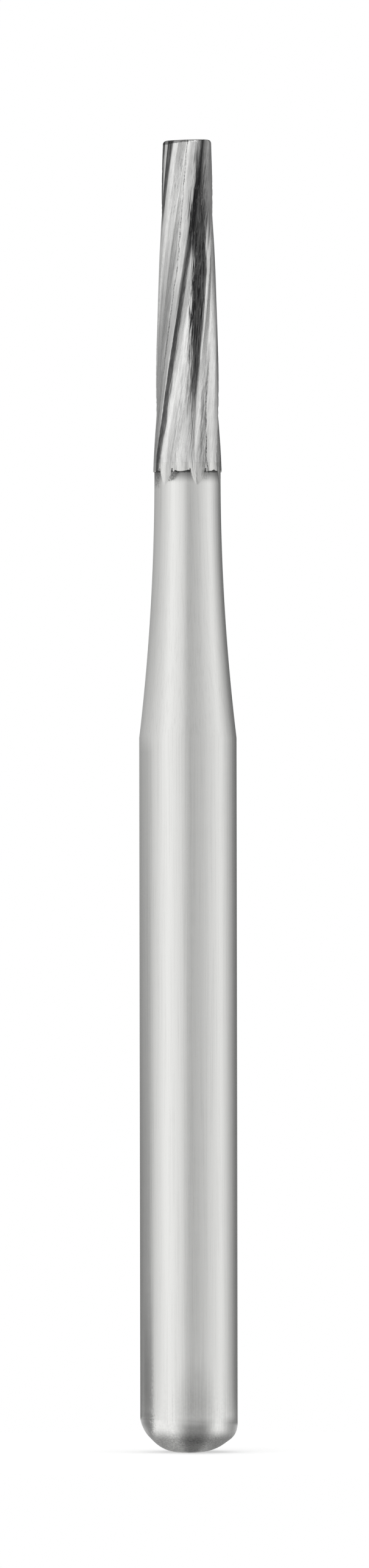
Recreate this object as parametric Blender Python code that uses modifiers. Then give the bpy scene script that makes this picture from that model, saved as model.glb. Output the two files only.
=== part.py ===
"""A tapered fissure bur for a friction-grip handpiece: a fluted carbide head joined end to end to a turned
steel shank. Metres, +Z up towards the working tip, the origin on the axis at the foot of the shank."""

from math import asin, atan2, cos, hypot, log, pi, radians, sin, tan

import bmesh
import bpy
from mathutils import Matrix, Vector

MM = 0.001

# Lengths along the axis
OVERALL_LENGTH = 21.56 * MM
FLUTED_LENGTH = 5.43 * MM
CARBIDE_LENGTH = 5.31 * MM
FLARE_LENGTH = 4.32 * MM
NECK_LENGTH = 0.07 * MM

# Diameters
SHANK_DIAMETER = 1.60 * MM
NECK_DIAMETER = 1.088 * MM
HEAD_TIP_DIAMETER = 0.79 * MM
HEAD_BASE_DIAMETER = 1.14 * MM

# Edges
TIP_EDGE_RADIUS = 0.06 * MM
BLADE_END_SLOPE = 0.012 * MM
END_CONE_WIDTH = 0.40 * MM
END_CONE_HEIGHT = 0.35 * MM
END_UPPER_RADIUS = 0.41 * MM
END_LOWER_RADIUS = 0.65 * MM
JOINT_FILM = 0.004 * MM  # braze between the two end faces

# Flutes: right-hand spiral, cutting edge on the left of each flute as seen from outside
FLUTE_COUNT = 6
HELIX_ANGLE = radians(9.2)
FIRST_EDGE_ANGLE = radians(-155.5)  # about +Z from +X, at the blade ends
FLUTE_DEPTH_AT_TIP = 0.070 * MM
FLUTE_DEPTH_AT_BASE = 0.092 * MM
LAND_ANGLE_AT_TIP = radians(25.0)
LAND_ANGLE_AT_BASE = radians(17.0)
RAKE_LEAN = radians(60.0)
FLOOR_RADIUS = 0.045 * MM
BACK_CURVE_AT_TIP = 1.0  # 1 rises to the land in a curve tangent to it, 0 in a straight line
BACK_CURVE_AT_BASE = -0.4  # below 0 stays low and rises late
RUN_OUT_LENGTH = 0.50 * MM
RUN_OUT_PAST_BLADES = 0.27 * MM

# Facets
TURNED_STEPS = 72
FLARE_STEPS = 12
EDGE_STEPS = 6
FLOOR_STEPS = 2
BACK_STEPS = 7
SECTION_SPACING = 0.25 * MM
RUN_OUT_SECTIONS = 7
OVERCUT = 0.15 * MM
SHARP_ANGLE = radians(24.0)

CARBIDE_COLOUR = (0.40, 0.40, 0.39, 1.0)
STEEL_COLOUR = (0.62, 0.62, 0.60, 1.0)

BLADE_END_Z = OVERALL_LENGTH - FLUTED_LENGTH
JOINT_Z = OVERALL_LENGTH - CARBIDE_LENGTH
NECK_TOP_Z = BLADE_END_Z - BLADE_END_SLOPE
FLARE_TOP_Z = NECK_TOP_Z - NECK_LENGTH
FLARE_FOOT_Z = FLARE_TOP_Z - FLARE_LENGTH
RUN_OUT_END_Z = BLADE_END_Z - RUN_OUT_PAST_BLADES
WHEEL_LIFT_Z = RUN_OUT_END_Z + RUN_OUT_LENGTH
TAPER = (HEAD_BASE_DIAMETER - HEAD_TIP_DIAMETER) / 2 / FLUTED_LENGTH


def head_radius(z):
    """Radius over the blades, on the one cone that runs from the tip to the blade ends."""
    return HEAD_BASE_DIAMETER / 2 - TAPER * (z - BLADE_END_Z)


def along_flute(z, at_base, at_tip):
    """A value of the flutes that changes evenly from the blade ends to the tip."""
    share = (z - BLADE_END_Z) / FLUTED_LENGTH
    return at_base + share * (at_tip - at_base)


def flute_depth(z):
    return along_flute(z, FLUTE_DEPTH_AT_BASE, FLUTE_DEPTH_AT_TIP)


def spiral_angle(z):
    """Turn of a flute about the axis since the blade ends, for a constant helix angle on the cone."""
    return tan(HELIX_ANGLE) / TAPER * log(HEAD_BASE_DIAMETER / 2 / head_radius(z))


def rounded(before, corner, after, radius, steps):
    """The arc that replaces a corner of a flat outline, as points from the first side to the second."""
    before, corner, after = Vector(before), Vector(corner), Vector(after)
    first = (before - corner).normalized()
    second = (after - corner).normalized()
    half = first.angle(second) / 2
    centre = corner + (first + second).normalized() * (radius / sin(half))
    start = corner + first * (radius / tan(half)) - centre
    swing = pi - 2 * half
    turn = swing if start.cross(corner - centre) > 0 else -swing
    return [tuple(centre + Matrix.Rotation(turn * i / steps, 2) @ start) for i in range(steps + 1)]


def flare_points(top_radius, foot_radius, top_z, foot_z):
    """The concave flare: one arc, tangent to the neck, from the neck down to its corner on the shank."""
    rise = foot_radius - top_radius
    length = top_z - foot_z
    arc_radius = (length**2 + rise**2) / (2 * rise)
    whole = asin(length / arc_radius)
    angles = [whole * i / FLARE_STEPS for i in range(FLARE_STEPS + 1)]
    return [(top_radius + arc_radius * (1 - cos(a)), top_z - arc_radius * sin(a)) for a in angles]


def head_profile():
    tip_edge = (head_radius(OVERALL_LENGTH), OVERALL_LENGTH)
    foot = (head_radius(JOINT_Z + JOINT_FILM), JOINT_Z + JOINT_FILM)
    tip_centre = (0.0, OVERALL_LENGTH)
    edge = rounded(tip_centre, tip_edge, foot, TIP_EDGE_RADIUS, EDGE_STEPS)
    return [tip_centre, *edge, foot, (0.0, foot[1])]


def shank_profile():
    neck = NECK_DIAMETER / 2
    grip = SHANK_DIAMETER / 2
    flare = flare_points(neck, grip, FLARE_TOP_Z, FLARE_FOOT_Z)
    cone_top = (grip, END_CONE_HEIGHT)
    cone_foot = (grip - END_CONE_WIDTH, 0.0)
    upper = rounded(flare[-1], cone_top, cone_foot, END_UPPER_RADIUS, EDGE_STEPS)
    lower = rounded(cone_top, cone_foot, (0.0, 0.0), END_LOWER_RADIUS, EDGE_STEPS)
    blade_base = [(0.0, JOINT_Z), (head_radius(JOINT_Z), JOINT_Z), (HEAD_BASE_DIAMETER / 2, BLADE_END_Z)]
    return [*blade_base, (neck, NECK_TOP_Z), *flare, *upper, *lower, (0.0, 0.0)]


def flute_section(z):
    """Outline of one flute's cutter across the axis at height z, as points about the axis.

    It comes in down the rake face, turns at the rounded floor, rises up the back to the land and
    closes outside the head. Where the wheel leaves the cut, it lifts on an arc and keeps straight down."""
    radius = head_radius(z)
    depth = flute_depth(z)
    curve = along_flute(z, BACK_CURVE_AT_BASE, BACK_CURVE_AT_TIP)
    mouth = 2 * pi / FLUTE_COUNT - along_flute(z, LAND_ANGLE_AT_BASE, LAND_ANGLE_AT_TIP)
    floor = Vector((radius - depth, depth * tan(RAKE_LEAN)))
    floor_angle = atan2(floor.y, floor.x)
    outward = (Vector((radius, 0.0)) - floor).normalized()
    rake_top = Vector((radius, 0.0)) + outward * OVERCUT
    back = []
    for i in range(BACK_STEPS + 2):
        along = i / BACK_STEPS
        left = 1 - along
        below = curve * left * abs(left) + (1 - curve) * left
        angle = floor_angle + along * (mouth - floor_angle)
        length = floor.length + (radius - floor.length) * (1 - below)
        back.append(Vector((length * cos(angle), length * sin(angle))))
    corner = [Vector(p) for p in rounded(rake_top, floor, back[1], FLOOR_RADIUS, FLOOR_STEPS)]
    last_angle = atan2(back[-1].y, back[-1].x)
    outside = radius + OVERCUT * 2
    closing = [Vector((outside * cos(a), outside * sin(a))) for a in (last_angle, last_angle / 2)]
    points = [rake_top, *corner, *back[1:], *closing]
    lift = wheel_lift(z)
    turn = FIRST_EDGE_ANGLE + spiral_angle(max(z, WHEEL_LIFT_Z))
    return [lifted(p, lift, turn, z) for p in points]


def wheel_lift(z):
    """How far the floor has risen below the blades, so that it leaves the neck at RUN_OUT_END_Z."""
    floor_below = head_radius(RUN_OUT_END_Z) - flute_depth(RUN_OUT_END_Z)
    whole = NECK_DIAMETER / 2 - floor_below
    return max(0.0, WHEEL_LIFT_Z - z) ** 2 / RUN_OUT_LENGTH**2 * whole


def lifted(point, lift, turn, z):
    """A section's point moved out from the axis by the lift, then turned about +Z to its place."""
    out = hypot(point.x, point.y) + lift
    angle = atan2(point.y, point.x) + turn
    return (out * cos(angle), out * sin(angle), z)


def section_heights():
    """Heights of a cutter's sections, from below the end of the run-out to above the tip."""
    top = OVERALL_LENGTH + OVERCUT
    step = (RUN_OUT_LENGTH + OVERCUT) / RUN_OUT_SECTIONS
    heights = [RUN_OUT_END_Z - OVERCUT + step * i for i in range(RUN_OUT_SECTIONS)]
    count = round((top - WHEEL_LIFT_Z) / SECTION_SPACING)
    return heights + [WHEEL_LIFT_Z + (top - WHEEL_LIFT_Z) * i / count for i in range(count + 1)]


def loft(name, sections):
    """A closed mesh through outlines of equal point counts that turn the same way, bottom to top."""
    shape = bmesh.new()
    rings = [[shape.verts.new(point) for point in section] for section in sections]
    for low, high in zip(rings, rings[1:]):
        for i in range(len(low)):
            j = (i + 1) % len(low)
            shape.faces.new((low[i], low[j], high[j], high[i]))
    shape.faces.new(reversed(rings[0]))
    shape.faces.new(rings[-1])
    bmesh.ops.recalc_face_normals(shape, faces=shape.faces)
    mesh = bpy.data.meshes.new(name)
    shape.to_mesh(mesh)
    shape.free()
    return mesh


def turned(name, profile, collection):
    """An object turned about +Z from a profile that runs down its outer side."""
    mesh = bpy.data.meshes.new(name)
    edges = [(i, i + 1) for i in range(len(profile) - 1)]
    mesh.from_pydata([(x, 0.0, z) for x, z in profile], edges, [])
    obj = bpy.data.objects.new(name, mesh)
    collection.objects.link(obj)
    screw = obj.modifiers.new("Turn", "SCREW")
    screw.steps = screw.render_steps = TURNED_STEPS
    screw.use_merge_vertices = True
    screw.merge_threshold = 1e-7
    return obj


def cut_flutes(obj, cutters):
    cut = obj.modifiers.new("Flutes", "BOOLEAN")
    cut.operation = "DIFFERENCE"
    cut.solver = "EXACT"
    cut.operand_type = "COLLECTION"
    cut.collection = cutters


def settle_mesh(obj):
    """Keeps the turned and cut shape as the object's own mesh, smooth but for its real edges."""
    graph = bpy.context.evaluated_depsgraph_get()
    mesh = bpy.data.meshes.new_from_object(obj.evaluated_get(graph))
    mesh.shade_smooth()
    mesh.set_sharp_from_angle(angle=SHARP_ANGLE)
    obj.modifiers.clear()
    obj.data = mesh


def metal(name, colour, roughness):
    material = bpy.data.materials.new(name)
    material.use_nodes = True
    shader = material.node_tree.nodes["Principled BSDF"]
    shader.inputs["Base Color"].default_value = colour
    shader.inputs["Metallic"].default_value = 1.0
    shader.inputs["Roughness"].default_value = roughness
    return material


def new_collection(name):
    collection = bpy.data.collections.new(name)
    bpy.context.scene.collection.children.link(collection)
    return collection


for leftover in list(bpy.data.objects):
    bpy.data.objects.remove(leftover)

bur = new_collection("dental_bur")
cutters = new_collection("flute_cutters")

flute_mesh = loft("flute", [flute_section(z) for z in section_heights()])
for number in range(FLUTE_COUNT):
    cutter = bpy.data.objects.new(f"flute_cutter_{number + 1}", flute_mesh)
    cutter.rotation_euler.z = 2 * pi * number / FLUTE_COUNT
    cutter.hide_render = True
    cutter.display_type = "WIRE"
    cutters.objects.link(cutter)

head = turned("cutting_head", head_profile(), bur)
shank = turned("shank", shank_profile(), bur)
for piece in (head, shank):
    cut_flutes(piece, cutters)
bpy.context.view_layer.update()
for piece in (head, shank):
    settle_mesh(piece)
head.data.materials.append(metal("tungsten_carbide", CARBIDE_COLOUR, 0.34))
shank.data.materials.append(metal("stainless_steel", STEEL_COLOUR, 0.22))
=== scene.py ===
from math import e, pi, radians, tan

import bpy
import numpy as np
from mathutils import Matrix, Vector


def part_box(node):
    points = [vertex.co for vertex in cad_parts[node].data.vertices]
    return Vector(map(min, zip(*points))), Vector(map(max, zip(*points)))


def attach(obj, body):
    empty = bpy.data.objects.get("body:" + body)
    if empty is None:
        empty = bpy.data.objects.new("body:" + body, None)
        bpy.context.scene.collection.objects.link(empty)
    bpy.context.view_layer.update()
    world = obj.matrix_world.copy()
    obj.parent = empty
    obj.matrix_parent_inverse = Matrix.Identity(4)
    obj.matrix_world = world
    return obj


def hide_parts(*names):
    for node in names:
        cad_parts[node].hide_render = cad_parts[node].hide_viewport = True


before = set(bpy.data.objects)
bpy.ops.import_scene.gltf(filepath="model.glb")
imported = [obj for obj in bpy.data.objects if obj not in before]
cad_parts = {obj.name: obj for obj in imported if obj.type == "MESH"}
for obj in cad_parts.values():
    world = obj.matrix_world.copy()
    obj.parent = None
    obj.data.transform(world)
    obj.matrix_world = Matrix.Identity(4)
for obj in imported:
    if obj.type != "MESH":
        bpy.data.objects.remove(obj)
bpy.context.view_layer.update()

# Cutting head: sintered tungsten carbide, a slim cone with six right-hand spiral flutes ground into it by a
# wheel. The wheel leaves streaks along the flutes and a matt land behind each cutting edge. Painted shade
# darkens the rake faces, and a painted dark reflection lies across the flutes in front and near the tip. It
# is brazed by its flat foot to the top of the shank.
MM = 0.001
MICRON = 0.001 * MM
HEAD_FOOT, HEAD_TOP = (corner.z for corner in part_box("cutting_head"))
BRAZE_FILM = 0.0035 * MM
FLUTED_LENGTH = 5.43 * MM
BLADE_END = HEAD_TOP - FLUTED_LENGTH
BLADE_RADIUS = 0.57 * MM
TIP_RADIUS = 0.395 * MM
TAPER = (BLADE_RADIUS - TIP_RADIUS) / FLUTED_LENGTH
TIP_EDGE = 0.06 * MM
TIP_LEAN = 0.022 * MM
LEAN_DEPTH = 0.3 * MM
TIP_WIDTH = 0.8 * MM
FLUTES = 6
HELIX = radians(9.2)
FIRST_EDGE = radians(-155.5)
DEPTH_AT_BASE = 0.092 * MM
DEPTH_AT_TIP = 0.070 * MM
LAND_AT_BASE = radians(17.0)
LAND_AT_TIP = radians(25.0)
RAKE_LEAN = radians(60.0)
FLOOR_BLEND = 0.006 * MM
CURVE_AT_BASE = -0.4
CURVE_AT_TIP = 1.0
RUN_OUT_END = BLADE_END - 0.27 * MM
WHEEL_LIFT = RUN_OUT_END + 0.50 * MM
NECK_RADIUS = 0.544 * MM
CHIP = 0.007 * MM
CHIP_WIDTH = radians(1.2)
COLUMNS = 48
RAKE_SHARE = 0.27
LAND_SHARE = 0.8
HEAD_ROWS = 300
CREASE = radians(32)
# The darkest colour of the carbide, at the bottom of its painted shades and its marks.
DARKEST_CARBIDE = (0.010, 0.010, 0.011)
BRIGHT_CARBIDE = (0.87, 0.87, 0.86)
random = np.random.default_rng(31)


def blade_radius(z):
    return BLADE_RADIUS - TAPER * (z - BLADE_END)


def spiral(z):
    """How far the flutes have turned at a height. It is a constant angle to the cone's sides."""
    return tan(HELIX) / TAPER * np.log(BLADE_RADIUS / blade_radius(z))


def wheel_lift(z):
    """How far the wheel has risen out of the cut, up to the neck's own surface at the run-out's end."""
    foot = blade_radius(RUN_OUT_END)
    whole = NECK_RADIUS - np.hypot(foot - DEPTH_AT_BASE, DEPTH_AT_BASE * tan(RAKE_LEAN))
    return whole * (np.maximum(WHEEL_LIFT - z, 0) / (WHEEL_LIFT - RUN_OUT_END)) ** 2


def flute_skin(z, body):
    """Points of a fluted skin by row and column, for heights and body radii given by row and column."""
    cut_z = np.maximum(z, RUN_OUT_END)
    share = (cut_z - BLADE_END) / (HEAD_TOP - BLADE_END)
    depth = DEPTH_AT_BASE + share * (DEPTH_AT_TIP - DEPTH_AT_BASE)
    curve = CURVE_AT_BASE + share * (CURVE_AT_TIP - CURVE_AT_BASE)
    land = LAND_AT_BASE + share * (LAND_AT_TIP - LAND_AT_BASE)
    radius = blade_radius(cut_z)
    pitch = 2 * pi / FLUTES
    mouth = pitch - land
    floor_x, floor_y = radius - depth, depth * tan(RAKE_LEAN)
    floor_angle = np.arctan2(floor_y, floor_x)
    floor_radius = np.hypot(floor_x, floor_y)

    step = np.arange(COLUMNS) / COLUMNS
    on_rake = step / RAKE_SHARE * floor_angle
    on_back = floor_angle + (step - RAKE_SHARE) / (LAND_SHARE - RAKE_SHARE) * (mouth - floor_angle)
    on_land = mouth + (step - LAND_SHARE) / (1 - LAND_SHARE) * land
    phase = np.where(step < RAKE_SHARE, on_rake, np.where(step < LAND_SHARE, on_back, on_land))

    rake = radius * floor_y / (floor_y * np.cos(phase) + (radius - floor_x) * np.sin(phase))
    left = 1 - (phase - floor_angle) / (mouth - floor_angle)
    below = curve * left * np.abs(left) + (1 - curve) * left
    back = floor_radius + (radius - floor_radius) * (1 - below)
    cut = (rake + back + np.sqrt((rake - back) ** 2 + FLOOR_BLEND**2)) / 2 + wheel_lift(z)
    cut = np.where(phase >= mouth, body + wheel_lift(z), cut)

    rows = z.shape[0]
    skin = np.zeros((rows, FLUTES, COLUMNS, 3))
    turn = FIRST_EDGE + spiral(np.maximum(z, WHEEL_LIFT))
    near_edge = np.exp(-np.minimum(phase, pitch - phase) / CHIP_WIDTH) * (z > BLADE_END)
    for flute in range(FLUTES):
        wear = np.interp(np.arange(rows), np.arange(0, rows + 2, 2), random.random(rows // 2 + 1) ** 4)
        out = np.minimum(body, cut) - CHIP * wear[:, None] * near_edge
        angle = turn + phase + pitch * flute
        skin[:, flute] = np.stack([out * np.cos(angle), out * np.sin(angle), z + 0 * out], axis=-1)
    return skin.reshape(rows, FLUTES * COLUMNS, 3)


def skinned(name, skin, top, foot):
    """A closed mesh from rows of points, with a fan to a centre point at each end."""
    rows, columns = skin.shape[:2]
    points = [*skin.reshape(-1, 3), top, foot]
    top_point, foot_point = rows * columns, rows * columns + 1
    last = (rows - 1) * columns
    faces = []
    for start in range(0, last, columns):
        below = start + columns
        for column in range(columns):
            right = (column + 1) % columns
            faces.append((start + column, below + column, below + right, start + right))
    for column in range(columns):
        right = (column + 1) % columns
        faces.append((top_point, column, right))
        faces.append((foot_point, last + right, last + column))
    mesh = bpy.data.meshes.new(name)
    mesh.from_pydata([tuple(point) for point in points], [], faces)
    mesh.shade_smooth()
    mesh.set_sharp_from_angle(angle=CREASE)
    piece = bpy.data.objects.new(name, mesh)
    bpy.context.scene.collection.objects.link(piece)
    return piece


class Value:
    """A value in a finish: a node's socket. Sums on it add Math nodes."""

    def __init__(self, finish, socket):
        self.finish = finish
        self.socket = socket

    def __add__(self, other):
        return self.finish.maths("ADD", self, other)

    def __radd__(self, other):
        return self.finish.maths("ADD", other, self)

    def __sub__(self, other):
        return self.finish.maths("SUBTRACT", self, other)

    def __rsub__(self, other):
        return self.finish.maths("SUBTRACT", other, self)

    def __mul__(self, other):
        return self.finish.maths("MULTIPLY", self, other)

    def __rmul__(self, other):
        return self.finish.maths("MULTIPLY", other, self)

    def __rtruediv__(self, other):
        return self.finish.maths("DIVIDE", other, self)

    def ramp(self, low, high):
        """0 at low and 1 at high, eased at both ends."""
        sockets = {"Value": self, "From Min": low, "From Max": high}
        return self.finish.node("ShaderNodeMapRange", {"interpolation_type": "SMOOTHSTEP"}, sockets)

    def band(self, low, full_from, full_to, high):
        """1 between the two inner values, eased to 0 at the outer two."""
        return self.ramp(low, full_from) * self.ramp(high, full_to)


class Finish:
    """The nodes of a material, or of the world, and the shader that they feed."""

    def __init__(self, owner, shader="Principled BSDF", **constants):
        owner.use_nodes = True
        self.owner = owner
        self.tree = owner.node_tree
        self.shader = self.tree.nodes[shader]
        for socket, value in constants.items():
            self.shader.inputs[socket.replace("_", " ").title()].default_value = value

    def node(self, kind, settings, sockets, output=0):
        """A node with its settings made first, then its sockets given values or links."""
        node = self.tree.nodes.new(kind)
        for name, value in settings.items():
            if name == "stops":
                for place, level in value[2:]:
                    node.color_ramp.elements.new(place)
                for element, (place, level) in zip(node.color_ramp.elements, value):
                    element.position = place
                    element.color = (level, level, level, 1)
            elif name == "blend":
                node.color_ramp.interpolation = value
            else:
                setattr(node, name, value)
        for name, value in sockets.items():
            self.feed(node.inputs[name], value)
        return Value(self, node.outputs[output])

    def feed(self, socket, value):
        if isinstance(value, Value):
            self.tree.links.new(value.socket, socket)
        else:
            socket.default_value = value

    def maths(self, operation, *values):
        return self.node("ShaderNodeMath", {"operation": operation}, dict(enumerate(values)))

    def more(self, first, second):
        return self.maths("MAXIMUM", first, second)

    def degrees(self, y, x):
        """The angle of a direction, from -180 to 180 degrees."""
        return self.maths("ARCTAN2", y, x) * (180 / pi)

    def place(self):
        """Where a point is on the object, in millimetres."""
        where = self.node("ShaderNodeTexCoord", {}, {}, "Object")
        return self.node("ShaderNodeVectorMath", {"operation": "SCALE"}, {"Vector": where, "Scale": 1 / MM})

    def axes(self, where):
        return [self.node("ShaderNodeSeparateXYZ", {}, {"Vector": where}, axis) for axis in "XYZ"]

    def stretched(self, where, scale):
        return self.node("ShaderNodeMapping", {}, {"Vector": where, "Scale": scale})

    def turned(self, where, angle):
        """The place turned about the part's axis by an angle in radians."""
        sockets = {"Vector": where, "Angle": angle}
        return self.node("ShaderNodeVectorRotate", {"rotation_type": "Z_AXIS"}, sockets)

    def noise(self, where, size, detail=2.0, roughness=0.5):
        """Cloudy noise from 0 to 1, with blots about the given size across."""
        sockets = {"Vector": where, "Scale": 1 / size, "Detail": detail, "Roughness": roughness}
        return self.node("ShaderNodeTexNoise", {"normalize": True}, sockets, "Fac")

    def streaks(self, where, size, flatness, detail, roughness, spread):
        """Noise of a size, drawn out along Z, with the levels about its middle spread from 0 to 1."""
        noise = self.noise(self.stretched(where, (1, 1, flatness)), size, detail, roughness)
        return noise.ramp(0.5 - spread, 0.5 + spread)

    def mixed(self, share, first, second):
        """One colour laid over another by a share."""
        layers = [(*layer, 1) if isinstance(layer, tuple) else layer for layer in (first, second)]
        return self.node("ShaderNodeMix", {"data_type": "RGBA"}, {0: share, 6: layers[0], 7: layers[1]}, 2)

    def bumped(self, *layers):
        """The surface normal under layers of relief, each a height from 0 to 1 and its depth."""
        normal = None
        for height, depth in layers:
            sockets = {"Strength": 1.0, "Distance": depth, "Height": height}
            if normal:
                sockets["Normal"] = normal
            normal = self.node("ShaderNodeBump", {}, sockets)
        self.feed(self.shader.inputs["Normal"], normal)

    def paint(self, colour, roughness):
        self.feed(self.shader.inputs["Base Color"], colour)
        self.feed(self.shader.inputs["Roughness"], roughness)


# Heights on the head in millimetres and angles in degrees, between which the marks of grinding and
# the painted shades change.
TIP_ZONE = 19.6
# Where the painted dark reflection band bends.
DARK_BAND_KNEE = 17.45
BASE_ZONE = 17.3
RUN_OUT_ZONE = 16.9
FLUTE_PITCH = 360.0 / FLUTES


class FluteMap:
    """Where a point lies on the fluted metal, and the grain of the metal there."""

    def __init__(self, finish, where):
        self.finish = finish
        self.where = where
        self.x, y, self.z = finish.axes(where)
        lifted = finish.more(self.z, WHEEL_LIFT / MM)
        radius = BLADE_RADIUS / MM - TAPER * (lifted - BLADE_END / MM)
        turn = finish.maths("LOGARITHM", BLADE_RADIUS / MM / radius, e) * (tan(HELIX) / TAPER)
        self.straight = finish.turned(where, 0 - turn - FIRST_EDGE)
        straight_x, straight_y, _ = finish.axes(self.straight)
        self.around = finish.degrees(straight_y, straight_x)
        self.flute = finish.maths("FLOORED_MODULO", self.around, FLUTE_PITCH)
        self.facing = finish.degrees(self.x, 0 - y)
        self.up = self.z.ramp(BLADE_END / MM, HEAD_TOP / MM)
        self.above = finish.more(self.z - TIP_ZONE, 0.0)
        self.low = finish.more(BASE_ZONE - self.z, 0.0)

        self.fine = finish.streaks(self.straight, 0.011, flatness=0.07, detail=3.0, roughness=0.7,
                                   spread=0.17)
        self.streak = finish.streaks(self.straight, 0.028, flatness=0.06, detail=3.0, roughness=0.65,
                                     spread=0.14)
        self.broad = finish.streaks(self.straight, 0.10, flatness=0.05, detail=2.0, roughness=0.5,
                                    spread=0.2)
        self.cloud = finish.noise(where, 0.16, 4.0, 0.6)
        self.grain = finish.noise(where, 0.013, 3.0, 0.65)
        self.ragged = finish.noise(finish.stretched(where, (1, 1, 0.35)), 0.05, 3.0, 0.6)


def lands(at):
    """How many degrees past the start of its land a point is, and masks of the first and third flutes."""
    on_first = at.around.band(-66.0, -60.0, 0.0, 6.0)
    on_third = at.around.band(64.0, 68.0, 112.0, 118.0)
    first_later = on_first * (8.0 - at.above * 10.3)
    third_sooner = on_third * (at.low * 12.0 - 18.0 + at.up * 9.5)
    start = 43.5 - at.up * 9.5 + first_later + third_sooner
    return at.flute - start + (at.ragged - 0.5) * 6.0, on_first, on_third


def torn_edges(at, past_land, on_third):
    """The dark torn line where a land starts, and the bright lip before it."""
    where_torn = at.around.band(-64.0, -58.0, -2.0, 2.0) * at.z.ramp(17.4, 18.4)
    where_torn = where_torn + on_third * at.z.ramp(17.8, 17.2)
    dashes = at.finish.noise(at.where, 0.030, 3.0, 0.7).ramp(0.42, 0.58)
    torn = past_land.band(-2.0, -0.5, -0.2, 1.0) * (0.25 + 0.75 * where_torn) * (0.30 + 0.70 * dashes)
    return torn, past_land.band(-5.0, -3.5, -3.0, -1.8) * where_torn


def rake_shadow(at):
    """The painted shade on the rake face just behind each cutting edge, left off three of the flutes."""
    below = at.finish.more(RUN_OUT_ZONE - at.z, 0.0)
    rake_flute = at.finish.maths("FLOORED_MODULO", at.around + below * 6.0, FLUTE_PITCH)
    rake_end = 9.5 - at.up * 2.5 + (at.streak - 0.5) * 3.5
    # Flutes that are left without the painted rake shade.
    unshaded_first_rake = at.around.band(-72.0, -66.0, -30.0, -20.0)
    unshaded_front_rake = at.around.band(42.0, 50.0, 76.0, 84.0) * at.z.ramp(20.6, 20.0)
    unshaded_last_rake = at.around.band(104.0, 110.0, 134.0, 140.0)
    rake = (rake_flute - rake_end).ramp(3.5, -3.0) * rake_flute.ramp(-2.5, 2.0)
    rake = rake * (1 - unshaded_first_rake) * (1 - unshaded_front_rake) * (1 - unshaded_last_rake)
    creep = at.around.band(-5.0, -1.5, 2.0, 6.0) * at.z.ramp(18.4, 19.2) * 0.8
    return at.finish.more(rake, creep)


def back_streaks(at, past_land, on_third):
    """The streaked grey of a flute's back as it climbs to the land, weaker on the two flutes in front."""
    front = at.around.band(-64.0, -60.0, 56.0, 60.0)
    most = at.flute.ramp(22.0, 34.0) * past_land.ramp(3.0, -2.0) * (0.60 - front * 0.35)
    third = on_third * past_land.band(-16.0, -9.0, -1.0, 1.0) * at.z.ramp(18.4, 17.4)
    shade = at.finish.more(most * (1 - on_third), third * 0.55)
    return shade * (1.35 - at.streak * 0.6 - at.fine * 0.5)


def dark_reflection_band(at, comb):
    """The painted dark reflection that crosses the second flute from its back at the base to its edge at the
    tip.
    """
    rise = at.z - DARK_BAND_KNEE
    right = 58.0 - rise * 5.8 + at.low * 8.0 - at.above * 14.0 + at.z.ramp(19.7, 19.3) * 3.0
    left = 45.0 - rise * 13.3 + at.low * 9.0 - at.above * 22.0 + at.z.ramp(18.7, 17.6) * 4.5
    left = at.finish.more(left, -1.0 - at.above * 6.0)
    band_shade = (at.around - right + (comb - 0.5) * (3.5 + at.above * 10.0)).ramp(3.2, -2.4)
    band_shade = band_shade * (at.around - left + (comb - 0.5) * 9.0).ramp(-8.0, 4.0)
    fading = at.z.ramp(17.9, 16.3) * (0.84 - comb * 0.60)
    return band_shade * (0.86 + 0.16 * comb) * (1 - fading) * (1 - at.z.ramp(20.9, 21.5) * 0.25)


def all_painted_dark(at, comb):
    """Painted dark shade: the band, the tip beside it, the strip at the tip's left, and a copy on the hidden
    side.
    """
    # Painted shade on the tip beside the band, lighter on the side turned away.
    tip_shade = at.around.band(-12.0, 2.0, 60.0, 72.0) * (at.z + (at.broad - 0.5) * 0.5).ramp(19.5, 20.2)
    tip_shade = tip_shade * (0.50 + 0.26 * at.streak + 0.24 * at.fine) * (1 - at.facing.ramp(40.0, 80.0) * 0.38)
    top_strip = at.around.band(-104.0, -98.0, -76.0, -71.0) * at.z.ramp(19.8, 20.5)
    hidden = 1 - at.facing.band(-130.0, -100.0, 100.0, 130.0)
    far = hidden * at.flute.band(14.0, 24.0, 40.0, 46.0) * (at.broad * 0.7 + at.streak * 0.4).ramp(0.5, 0.9)
    painted_dark = dark_reflection_band(at, comb)
    for other in (tip_shade, top_strip * (0.78 + 0.16 * at.streak), far * 0.85):
        painted_dark = at.finish.more(painted_dark, other)
    return painted_dark


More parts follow.
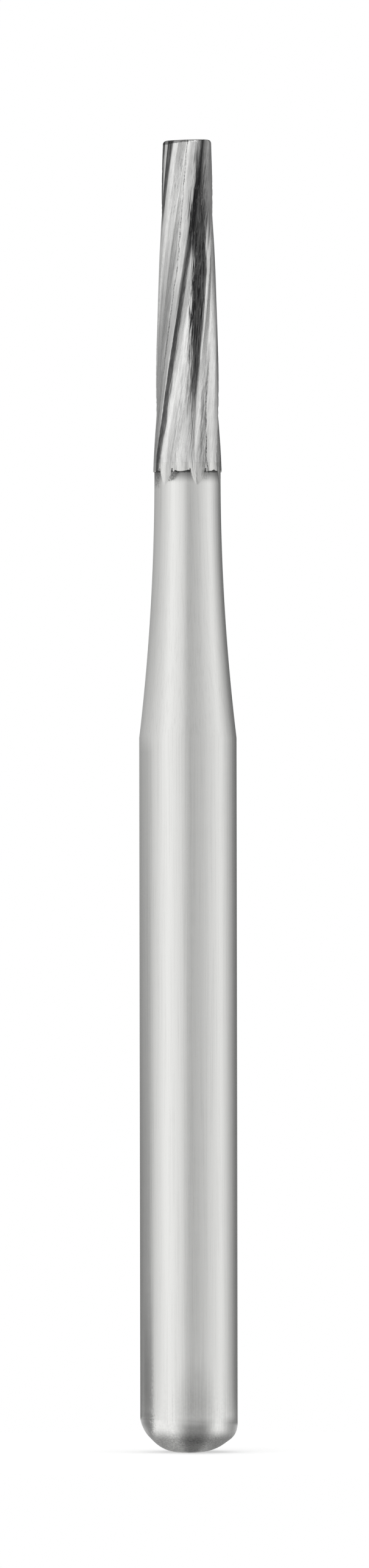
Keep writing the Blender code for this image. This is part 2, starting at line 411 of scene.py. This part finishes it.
def ground_marks(at):
    """How light the ground metal is with its painted shades, the painted dark band, and where the matt lands
    lie.
    """
    past_land, on_first, on_third = lands(at)
    land = past_land.ramp(-0.8, 0.8)
    torn, lip = torn_edges(at, past_land, on_third)
    combed = at.finish.turned(at.straight, (at.z - DARK_BAND_KNEE) * radians(9.5))
    comb = at.finish.streaks(combed, 0.016, flatness=0.022, detail=3.0, roughness=0.6, spread=0.16)
    painted_dark = all_painted_dark(at, comb)

    dull = at.around.band(-21.0, -12.0, -3.0, 1.0) * at.z.ramp(19.9, 18.5)
    plateau = at.around.ramp(-57.0, -52.0) * past_land.ramp(1.0, -3.0) * on_first * at.z.ramp(21.2, 19.4)
    pits = at.grain.ramp(0.60, 0.72) * land
    floor_shade = at.flute.ramp(14.0, 7.0) * 0.10
    scores = at.finish.noise(at.finish.stretched(at.straight, (1, 1, 0.10)), 0.017, 2.0, 0.6)
    on_back = at.around.ramp(-58.0, -54.0) * past_land.ramp(1.0, -2.0)
    scores = scores.ramp(0.60, 0.68) * on_back * at.z.ramp(19.7, 20.5)
    # A grey band along the rounded top edge, partly wear and partly painted shade.
    tip_line = HEAD_TOP / MM - 0.085 + (at.x + 0.35) * 0.12 + (at.ragged - 0.5) * 0.05
    tip = (at.z - tip_line).ramp(-0.010, 0.006)
    # Painted shade on the side of the head turned away to the right.
    painted_side_shade = at.facing.band(60.0, 80.0, 90.0, 110.0) * at.z.ramp(20.4, 20.0) * at.z.ramp(16.8, 17.2)
    glints = at.finish.noise(at.finish.stretched(combed, (1, 1, 0.22)), 0.020, 2.0, 0.6)
    glints = glints.ramp(0.58, 0.70) * painted_dark

    tone = 1 - at.finish.more(dull * 0.85, plateau * 0.68) * (0.40 + 0.12 * at.fine)
    rake = rake_shadow(at) * (0.78 + 0.14 * at.fine)
    # The painted shades among these darken the rake faces, the dark band and the side turned away.
    for dark in (rake, torn * 0.7, pits * 0.4, floor_shade, back_streaks(at, past_land, on_third),
                 painted_dark * 0.97, tip * 0.66, scores * 0.42, painted_side_shade * 0.45):
        tone = tone * (1 - dark)
    tone = tone * (0.78 + at.streak * 0.17 + at.fine * 0.15)
    tone = tone * (0.88 + at.cloud * 0.22) * (0.90 + at.grain * 0.20)
    return tone + lip * 0.12 + glints * 0.09, painted_dark, land


def carbide():
    finish = Finish(bpy.data.materials.new("ground_carbide"), metallic=1.0)
    where = finish.place()
    at = FluteMap(finish, where)
    # The second value is the painted dark band, which is also made rougher.
    tone, painted_dark, land = ground_marks(at)
    normal = finish.node("ShaderNodeNewGeometry", {}, {}, "Normal")
    end_face = finish.axes(normal)[2].ramp(0.80, 0.95)
    scratch = finish.noise(finish.stretched(where, (1, 0.12, 1)), 0.018, 3.0, 0.65)
    tone = (1 - end_face) * tone + end_face * (0.22 + scratch * 0.30 + at.cloud * 0.10)
    colour = finish.mixed(tone, DARKEST_CARBIDE, BRIGHT_CARBIDE)
    finish.paint(colour, 0.24 + land * 0.08 + painted_dark * 0.2 + at.cloud * 0.06)
    finish.bumped((at.streak, 0.8 * MICRON), (at.fine, 0.5 * MICRON), (at.grain, 0.5 * MICRON))
    return finish.owner


corner_turn = np.linspace(pi / 2, 0, 9)
corner_z = HEAD_TOP - TIP_EDGE * (1 - np.sin(corner_turn))
straight_z = np.linspace(HEAD_TOP - TIP_EDGE, HEAD_FOOT - BRAZE_FILM, HEAD_ROWS)[1:]
head_z = np.concatenate([corner_z, straight_z])[:, None] * np.ones(COLUMNS)
corner_in = np.concatenate([TIP_EDGE * (1 - np.cos(corner_turn)), 0 * straight_z])[:, None]
head_skin = flute_skin(head_z, blade_radius(head_z) - corner_in)
lean = np.clip((head_skin[..., 2] - HEAD_TOP + LEAN_DEPTH) / LEAN_DEPTH, 0, 1)
head_skin[..., 2] -= lean * TIP_LEAN * np.clip(0.5 - head_skin[..., 0] / TIP_WIDTH, 0, 1)
head = skinned("ground_head", head_skin, (0, 0, HEAD_TOP - TIP_LEAN / 2), (0, 0, HEAD_FOOT - BRAZE_FILM))
head.data.materials.append(carbide())
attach(head, "root")
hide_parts("cutting_head")

# Shank: stainless steel, turned and centreless ground, with a slender neck that flares to the grip the
# handpiece holds and a rounded foot. The wheel that cuts the flutes runs out into its neck, and leaves a
# ragged ledge and torn burrs at the blade ends.
SHANK_FOOT, SHANK_TOP = (corner.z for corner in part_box("shank"))
GRIP_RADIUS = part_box("shank")[1].x
NECK_TOP = BLADE_END - 0.012 * MM
FLARE_TOP = NECK_TOP - 0.07 * MM
FLARE_FOOT = FLARE_TOP - 4.32 * MM
RUN_OUT_DEPTH = 0.25 * MM
FOOT_WIDTH = 0.40 * MM
FOOT_HEIGHT = 0.35 * MM
UPPER_ROUND = 0.41 * MM
LOWER_ROUND = 0.65 * MM
FOOT_TILT = 0.06 * MM
TILT_FADE = 0.45 * MM
LEDGE_RAGGED = 0.020 * MM
LEDGE_REACH = 0.05 * MM
LEDGE_STEP = 4
FLARE_STEPS = 60
GRIP_STEPS = 50
ROUND_STEPS = 14
ROW_GAP = 0.01 * MM
# The darkest colour of the steel, at the bottom of its painted shades and its marks.
DARKEST_STEEL = (0.02, 0.02, 0.02)
BRIGHT_STEEL = (0.80, 0.80, 0.785)


def round_corner(before, corner, after, radius, steps):
    """Points of the arc that rounds a corner of an outline."""
    before, corner, after = np.array(before), np.array(corner), np.array(after)
    first = (before - corner) / np.linalg.norm(before - corner)
    second = (after - corner) / np.linalg.norm(after - corner)
    half = np.arccos(first @ second) / 2
    centre = corner + (first + second) / np.linalg.norm(first + second) * radius / np.sin(half)
    start = corner + first * radius / np.tan(half) - centre
    side = corner - centre - (corner - centre) @ start / (start @ start) * start
    side = side / np.linalg.norm(side) * radius
    turns = np.linspace(0, pi - 2 * half, steps)
    return [tuple(centre + start * np.cos(turn) + side * np.sin(turn)) for turn in turns]


def shank_outline():
    """Radius and height down the shank's side from the neck to the foot."""
    rise, length = GRIP_RADIUS - NECK_RADIUS, FLARE_TOP - FLARE_FOOT
    bend = (length**2 + rise**2) / (2 * rise)
    turns = np.linspace(0, np.arcsin(length / bend), FLARE_STEPS)
    flare = [(NECK_RADIUS + bend * (1 - np.cos(turn)), FLARE_TOP - bend * np.sin(turn)) for turn in turns]
    cone_top = (GRIP_RADIUS, FOOT_HEIGHT)
    cone_foot = (GRIP_RADIUS - FOOT_WIDTH, 0.0)
    upper = round_corner(flare[-1], cone_top, cone_foot, UPPER_ROUND, ROUND_STEPS)
    grip = [(GRIP_RADIUS, z) for z in np.linspace(FLARE_FOOT, upper[0][1], GRIP_STEPS)[1:-1]]
    lower = round_corner(cone_top, cone_foot, (0.0, 0.0), LOWER_ROUND, ROUND_STEPS)
    return np.array([*flare, *grip, *upper, *lower])


def run_out_marks(at, beside, blade, rough):
    """Under the blades' ragged ledge: a painted hard and soft shadow, torn burr, and a mottled dark patch at
    left.
    """
    end, cut_end = BLADE_END / MM, RUN_OUT_END / MM
    under = (at.z + (rough - 0.5) * 0.05).ramp(end - 0.055, end - 0.030) * beside
    soft_under = at.z.ramp(end - 0.24, end - 0.03) * beside
    cut_side = at.flute - 17.0 - (at.z - cut_end) * 78.0 + (rough - 0.5) * 14.0
    on_second = at.around.band(-2.0, 0.0, 58.0, 60.0)
    burr = cut_side.band(-1.0, 4.0, 10.0, 18.0) * (1 - blade)
    burr = burr * (at.z + (rough - 0.5) * 0.12).ramp(end - 0.19, end - 0.15)
    burr = burr * at.finish.more(on_second, (rough - 0.35) * 1.2)
    # A mottled darker patch on the neck's left, under the ledge.
    left_neck_patch = at.facing.band(-120.0, -95.0, -62.0, -52.0) * at.z.ramp(end - 0.34, end - 0.20)
    left_neck_patch = left_neck_patch * beside * rough.ramp(0.3, 0.6)
    burr_shade = burr * (0.05 + rough.ramp(0.30, 0.66) * 0.62)
    return (under * 0.78, soft_under * 0.68, burr_shade, left_neck_patch * 0.55), burr


def painted_foot_shades(at, speckle, rough):
    """Painted reflections and shade on the lower shank, its edges, the round above the foot and the mottled
    foot.
    """
    x, z, facing = at.x, at.z, at.facing
    blotched = z + (speckle - 0.5) * 0.07 + (rough - 0.5) * 0.03
    dome = blotched.ramp(0.41, 0.20)
    # Painted reflections: darker bands placed by side and height on the lower shank and the round above the
    # foot.
    centre = facing.band(-22.0, 3.0, 14.0, 38.0)
    centre_shade = centre * z.ramp(1.8, 0.55) * 0.34
    centre_foot = centre * blotched.ramp(0.61, 0.42) * (0.58 - z.ramp(0.22, 0.08) * 0.30)
    left_edge = x + ((rough - 0.5) * 0.15 + (speckle - 0.5) * 0.13) * z.ramp(2.2, 1.0)
    left_band = left_edge.ramp(-0.556, -0.639) * facing.ramp(-72.0, -60.0) * z.ramp(3.2, 0.6) * 0.38
    left_side = left_edge.ramp(-0.520, -0.665) * facing.ramp(-112.0, -80.0)
    left_foot = left_side * z.ramp(0.74, 0.60) * 0.26
    left_round = 0.40 + z.ramp(0.56, 0.48) * 0.12 + x.ramp(-0.66, -0.75) * 0.16
    left_round = left_round * left_side * z.ramp(0.578, 0.558) * (1 - dome * 0.7)
    right_side = x.ramp(0.47, 0.74) * facing.ramp(112.0, 84.0)
    right_round = right_side * z.ramp(0.66, 0.42) * 0.68 * (1 - dome * 0.5)
    dome_sides = dome * (x.ramp(-0.25, -0.45) * 0.22 + x.ramp(0.20, 0.45) * 0.36)
    # A painted shade on the hidden side of the round above the foot.
    hidden = 1 - facing.band(-125.0, -92.0, 92.0, 125.0)
    back_round = hidden * blotched.ramp(0.60, 0.52) * 0.50 * (1 - dome * 0.6)
    mottle = speckle.ramp(0.30, 0.70) * z.ramp(1.6, 0.5) * 0.08
    shades = (centre_shade, centre_foot, left_band, left_foot, left_round, right_round, back_round,
              dome_sides, dome * 0.42, mottle)
    return shades, dome


def steel():
    finish = Finish(bpy.data.materials.new("turned_steel"), metallic=1.0)
    where = finish.place()
    at = FluteMap(finish, where)
    ground, _, _ = ground_marks(at)
    line = finish.streaks(where, 0.03, flatness=0.012, detail=4.0, roughness=0.7, spread=0.2)
    cloud = finish.noise(where, 0.22, 4.0, 0.6)
    speckle = finish.noise(where, 0.045, 4.0, 0.7)
    grain = finish.noise(where, 0.012, 3.0, 0.65)
    rough = finish.noise(where, 0.030, 4.0, 0.75)

    across = finish.node("ShaderNodeVectorMath", {"operation": "MULTIPLY"}, {0: where, 1: (1, 1, 0)})
    radius = finish.node("ShaderNodeVectorMath", {"operation": "LENGTH"}, {"Vector": across}, "Value")
    end, cut_end = BLADE_END / MM, RUN_OUT_END / MM
    past_neck = radius - NECK_RADIUS / MM
    in_cut = past_neck.ramp(-0.0002, -0.0012) * at.z.ramp(cut_end - 0.06, cut_end)
    ledge = past_neck.ramp(0.002, 0.010) * at.z.ramp(end - 0.18, end - 0.13)
    blade = finish.more(at.z.ramp(end + 0.020, end + 0.032), ledge)
    worked = finish.more(blade, in_cut * 0.9)
    run_out, burr = run_out_marks(at, (1 - in_cut) * (1 - blade), blade, rough)
    # Painted reflections and shade on the lower shank and the foot.
    foot, dome = painted_foot_shades(at, speckle, rough)

    plain = (0.90 + line * 0.12 + cloud * 0.08) * (1 - dome * (rough - 0.45) * 2.0)
    for dark in (*run_out, *foot):
        plain = plain * (1 - dark)
    tone = worked * (ground * 1.08) + (1 - worked) * plain
    colour = finish.mixed(tone, DARKEST_STEEL, BRIGHT_STEEL)
    finish.paint(colour, 0.22 + dome * 0.26 + cloud * 0.05 + burr * 0.3)
    finish.bumped((line, 0.3 * MICRON), (grain, 0.25 * MICRON), (burr * rough, 3 * MICRON))
    return finish.owner


side_radius, side_z = shank_outline().T
blade_rows = np.linspace(SHANK_TOP, BLADE_END, 10)
under_rows = np.linspace(NECK_TOP, FLARE_TOP, 5)[:-1]
neck_rows = np.linspace(FLARE_TOP, FLARE_TOP - RUN_OUT_DEPTH, 30)
neck_radius = np.interp(-neck_rows, -side_z, side_radius)
lower = side_z < neck_rows[-1] - ROW_GAP
shank_z = np.concatenate([blade_rows, under_rows, neck_rows, side_z[lower]])[:, None] * np.ones(COLUMNS)
under_radius = NECK_RADIUS + 0 * under_rows
body = np.concatenate([blade_radius(blade_rows), under_radius, neck_radius, side_radius[lower]])
shank_skin = flute_skin(shank_z, body[:, None] * np.ones(COLUMNS))
around_count = FLUTES * COLUMNS
near_ledge = np.exp(-((shank_skin[..., 2] - BLADE_END) / LEDGE_REACH) ** 2)
ragged = np.interp(np.arange(around_count), np.arange(0, around_count + LEDGE_STEP, LEDGE_STEP),
                   random.normal(0, 1, around_count // LEDGE_STEP + 1))
shank_skin[..., 2] += near_ledge * LEDGE_RAGGED * np.clip(ragged, -1.5, 1.5)
foot_z = shank_skin[..., 2]
tilted = np.clip(foot_z / FOOT_HEIGHT, 0, 1) * np.clip(2 - foot_z / TILT_FADE, 0, 1)
shank_skin[..., 2] -= tilted * FOOT_TILT * shank_skin[..., 0] / GRIP_RADIUS
shank = skinned("ground_shank", shank_skin, (0, 0, SHANK_TOP), (0, 0, SHANK_FOOT))
shank.data.materials.append(steel())
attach(shank, "root")
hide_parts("shank")

# Floor: a small pale sheet that the foot rests on. The camera and the metal see it as white, and it keeps
# the part's own soft shadow.
FLOOR_RADIUS = 8 * MM
FLOOR_GLOW = 0.42


def seen_directly(finish):
    """1 for what the camera, a reflection or glass sees, and 0 for the light that falls on things."""
    kinds = ("Is Camera Ray", "Is Glossy Ray", "Is Transmission Ray")
    camera_ray, glossy_ray, glass_ray = [finish.node("ShaderNodeLightPath", {}, {}, kind) for kind in kinds]
    return finish.maths("MINIMUM", camera_ray + glossy_ray + glass_ray, 1.0)


bpy.ops.mesh.primitive_circle_add(vertices=96, radius=FLOOR_RADIUS, fill_type="NGON")
floor = bpy.context.object
floor.name = "pale_floor"
sheet = Finish(bpy.data.materials.new("pale_floor"), base_color=(0.9, 0.9, 0.9, 1), roughness=0.9,
               emission_strength=1.0)
glow = sheet.mixed(seen_directly(sheet), (0, 0, 0), (FLOOR_GLOW, FLOOR_GLOW, FLOOR_GLOW))
sheet.feed(sheet.shader.inputs["Emission Color"], glow)
floor.data.materials.append(sheet.owner)

# Light: a round tent of white cloth lit from outside, with two bright sides. It is dimmer in front, where
# the camera looks in, and behind, and it is shaded low on the left. The levels go by degrees from the front.
TENT_RADIUS = 150 * MM
TENT_LEVELS = [(-180, 0.36), (-157, 0.44), (-119, 0.60), (-84, 0.78), (-51, 1.04),
               (-21, 0.89), (4, 0.50), (29, 0.60), (59, 0.80), (84, 0.97),
               (97, 0.76), (119, 0.46), (138, 0.22), (160, 0.14), (180, 0.36)]
TENT_STRENGTH = 1.2
TENT_SHADE = 0.52

bpy.ops.mesh.primitive_cylinder_add(vertices=128, radius=TENT_RADIUS, depth=2 * TENT_RADIUS,
                                    end_fill_type="NOTHING")
tent = bpy.context.object
tent.name = "light_tent"
tent.location.z = HEAD_TOP / 2
tent.visible_camera = False
tent.visible_shadow = False
cloth = Finish(bpy.data.materials.new("tent_cloth"), base_color=(0, 0, 0, 1), roughness=1.0,
               emission_strength=TENT_STRENGTH)
tent_x, tent_y, tent_z = cloth.axes(cloth.node("ShaderNodeTexCoord", {}, {}, "Object"))
bearing = cloth.maths("ARCTAN2", tent_x, 0 - tent_y) * (0.5 / pi) + 0.5
stops = [(angle / 360 + 0.5, level / TENT_STRENGTH) for angle, level in TENT_LEVELS]
levels = cloth.node("ShaderNodeValToRGB", {"stops": stops, "blend": "EASE"}, {"Fac": bearing})
shaded = bearing.ramp(0.27, 0.20) * tent_z.ramp(9 * MM, -14 * MM) * TENT_SHADE
cloth.feed(cloth.shader.inputs["Emission Color"], cloth.mixed(shaded, levels, (0, 0, 0)))
cloth.owner.cycles.emission_sampling = "NONE"
tent.data.materials.append(cloth.owner)

world = bpy.data.worlds.new("studio")
bpy.context.scene.world = world
sky = Finish(world, "Background")
sky.feed(sky.shader.inputs["Color"], sky.mixed(seen_directly(sky), (0.8, 0.8, 0.8), (1, 1, 1)))

# Camera: level with the middle of the part and far off, so that its sides stay parallel as in the photo.
# The part's top, foot and axis are given in the photo's pixels.
PHOTO_WIDTH, PHOTO_HEIGHT = 606, 2576
PHOTO_TOP, PHOTO_FOOT = 229.5, 2385.5
PHOTO_AXIS = 308.7
PHOTO_ROLL = radians(0.09)
DISTANCE = 0.25
SENSOR = 36.0
scale = HEAD_TOP / (PHOTO_FOOT - PHOTO_TOP)
camera_data = bpy.data.cameras.new("camera")
camera_data.sensor_width = SENSOR
camera_data.lens = SENSOR * DISTANCE / (scale * PHOTO_HEIGHT)
camera_data.clip_start = 0.01
camera = bpy.data.objects.new("camera", camera_data)
sideways = (PHOTO_WIDTH / 2 - PHOTO_AXIS) * scale
camera.location = (sideways, -DISTANCE, (PHOTO_FOOT - PHOTO_HEIGHT / 2) * scale)
camera.rotation_euler = (pi / 2, PHOTO_ROLL, 0)
bpy.context.scene.collection.objects.link(camera)
bpy.context.scene.camera = camera
bpy.context.scene.view_settings.view_transform = "Standard"
